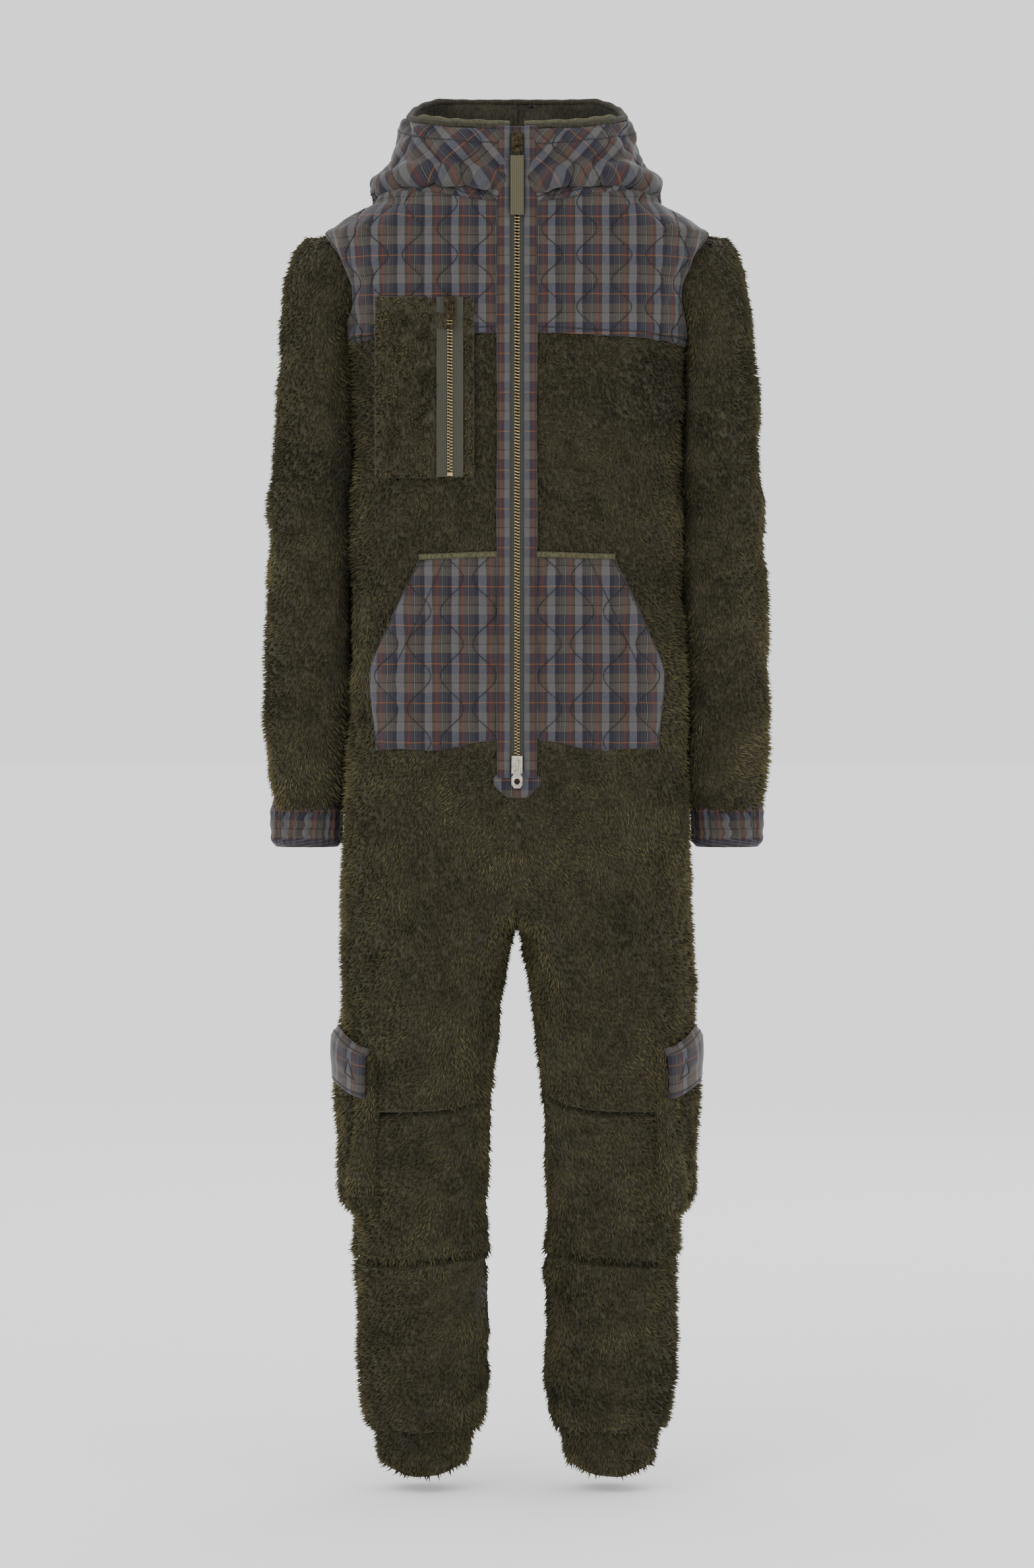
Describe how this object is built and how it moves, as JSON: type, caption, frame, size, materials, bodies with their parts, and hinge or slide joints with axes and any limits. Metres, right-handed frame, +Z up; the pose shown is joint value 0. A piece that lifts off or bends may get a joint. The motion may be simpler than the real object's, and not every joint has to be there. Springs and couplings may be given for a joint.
{
  "type": "hooded fleece jumpsuit",
  "caption": "Hooded one-piece suit of plush fleece with quilted plaid trim, a two-way front zip, swinging limbs and lifting pocket flaps.",
  "frame": {"origin": "middle of the suit's width and depth, at the level of its ankle hems", "axes": "+Z up to the hood, -Y out of the zipped front, +X towards the wearer's left sleeve"},
  "size_m": [0.576, 0.2446, 1.57],
  "materials": {
    "plush_fleece": "high-pile olive plush fleece, brushed and clumped",
    "quilted_plaid": "brushed plaid cotton, machine quilted in waves",
    "hood_lining": "brushed dark olive fleece",
    "edge_binding": "woven binding tape",
    "zip_tape": "herringbone woven polyester tape",
    "webbing": "narrow woven webbing",
    "brass": "polished brass zip elements",
    "antique_bronze": "cast zinc with an antique bronze plating",
    "nickel": "cast zinc with a bright nickel plating"
  },
  "bodies": {
    "lower_leg_left": {"ankle_cuff_left": "plush_fleece", "shin_left": "plush_fleece"},
    "lower_leg_right": {"ankle_cuff_right": "plush_fleece", "shin_right": "plush_fleece"},
    "garment": {"body_back_left": "plush_fleece", "body_back_right": "plush_fleece", "body_front_left": "plush_fleece", "body_front_right": "plush_fleece", "chest_pocket": "plush_fleece", "chest_zip_stop": "brass", "chest_zip_tape_left": "zip_tape", "chest_zip_tape_right": "zip_tape", "chest_zip_teeth_left": "brass", "chest_zip_teeth_right": "brass", "hanger_loop": "edge_binding", "hood_edge_binding": "edge_binding", "hood_left": "quilted_plaid", "hood_lining_left": "hood_lining", "hood_lining_right": "hood_lining", "hood_right": "quilted_plaid", "kangaroo_pocket_left": "quilted_plaid", "kangaroo_pocket_right": "quilted_plaid", "neck_tape": "edge_binding", "placket_end_tab": "quilted_plaid", "placket_left": "quilted_plaid", "placket_right": "quilted_plaid", "yoke_back": "quilted_plaid", "yoke_front_left": "quilted_plaid", "yoke_front_right": "quilted_plaid", "zip_bottom_stop": "brass", "zip_guard": "zip_tape", "zip_tape_left": "zip_tape", "zip_tape_right": "zip_tape", "zip_teeth_left": "brass", "zip_teeth_right": "brass"},
    "bottom_pull": {"bottom_ring": "nickel"},
    "bottom_slider_body": {"bottom_slider": "nickel"},
    "flap_left": {"cargo_flap_left": "quilted_plaid"},
    "flap_right": {"cargo_flap_right": "quilted_plaid"},
    "upper_leg_left": {"cargo_pocket_left": "plush_fleece", "knee_panel_left": "plush_fleece", "thigh_back_left": "plush_fleece", "thigh_front_left": "plush_fleece"},
    "upper_leg_right": {"cargo_pocket_right": "plush_fleece", "knee_panel_right": "plush_fleece", "thigh_back_right": "plush_fleece", "thigh_front_right": "plush_fleece"},
    "chest_pull": {"chest_ring": "antique_bronze"},
    "chest_slider_body": {"chest_slider": "antique_bronze"},
    "main_pull": {"main_pull_link": "antique_bronze", "main_pull_tab": "webbing"},
    "main_slider_body": {"main_slider": "antique_bronze"},
    "lower_sleeve_left": {"sleeve_cuff_left": "quilted_plaid", "sleeve_lower_left": "plush_fleece"},
    "lower_sleeve_right": {"sleeve_cuff_right": "quilted_plaid", "sleeve_lower_right": "plush_fleece"},
    "upper_sleeve_left": {"sleeve_upper_left": "plush_fleece"},
    "upper_sleeve_right": {"sleeve_upper_right": "plush_fleece"}
  },
  "joints": [
    {"name": "main_slider_slide", "type": "slide", "parent": "garment", "child": "main_slider_body", "axis": [0, 0, -1], "range_m": [0, 0.55]},
    {"name": "main_pull_swing", "type": "hinge", "parent": "main_slider_body", "child": "main_pull", "pos_m": [0, -0.1132, 1.5025], "axis": [-1, 0, 0], "range_deg": [0, 165]},
    {"name": "bottom_slider_slide", "type": "slide", "parent": "garment", "child": "bottom_slider_body", "axis": [0, 0, 1], "range_m": [0, 0.055]},
    {"name": "bottom_pull_swing", "type": "hinge", "parent": "bottom_slider_body", "child": "bottom_pull", "pos_m": [0, -0.1132, 0.8075], "axis": [-1, 0, 0], "range_deg": [0, 165]},
    {"name": "chest_slider_slide", "type": "slide", "parent": "garment", "child": "chest_slider_body", "axis": [0, 0, -1], "range_m": [0, 0.165]},
    {"name": "chest_pull_swing", "type": "hinge", "parent": "chest_slider_body", "child": "chest_pull", "pos_m": [-0.075, -0.1206, 1.3205], "axis": [-1, 0, 0], "range_deg": [0, 165]},
    {"name": "shoulder_left", "type": "hinge", "parent": "garment", "child": "upper_sleeve_left", "pos_m": [0.232, 0.008, 1.345], "axis": [0, -1, 0], "range_deg": [0, 60]},
    {"name": "elbow_left", "type": "hinge", "parent": "upper_sleeve_left", "child": "lower_sleeve_left", "pos_m": [0.232, -0.018, 1.06], "axis": [-1, 0, 0], "range_deg": [0, 70]},
    {"name": "hip_left", "type": "hinge", "parent": "garment", "child": "upper_leg_left", "pos_m": [0.1, -0.048, 0.625], "axis": [-1, 0, 0], "range_deg": [0, 45]},
    {"name": "knee_left", "type": "hinge", "parent": "upper_leg_left", "child": "lower_leg_left", "pos_m": [0.11, 0.06, 0.29], "axis": [1, 0, 0], "range_deg": [0, 60]},
    {"name": "flap_left", "type": "hinge", "parent": "upper_leg_left", "child": "flap_left", "pos_m": [0.2093, 0, 0.5055], "axis": [0, -1, 0], "range_deg": [0, 100]},
    {"name": "shoulder_right", "type": "hinge", "parent": "garment", "child": "upper_sleeve_right", "pos_m": [-0.232, 0.008, 1.345], "axis": [0, 1, 0], "range_deg": [0, 60]},
    {"name": "elbow_right", "type": "hinge", "parent": "upper_sleeve_right", "child": "lower_sleeve_right", "pos_m": [-0.232, -0.018, 1.06], "axis": [-1, 0, 0], "range_deg": [0, 70]},
    {"name": "hip_right", "type": "hinge", "parent": "garment", "child": "upper_leg_right", "pos_m": [-0.1, -0.048, 0.625], "axis": [-1, 0, 0], "range_deg": [0, 45]},
    {"name": "knee_right", "type": "hinge", "parent": "upper_leg_right", "child": "lower_leg_right", "pos_m": [-0.11, 0.06, 0.29], "axis": [1, 0, 0], "range_deg": [0, 60]},
    {"name": "flap_right", "type": "hinge", "parent": "upper_leg_right", "child": "flap_right", "pos_m": [-0.2093, 0, 0.5055], "axis": [0, 1, 0], "range_deg": [0, 100]}
  ]
}
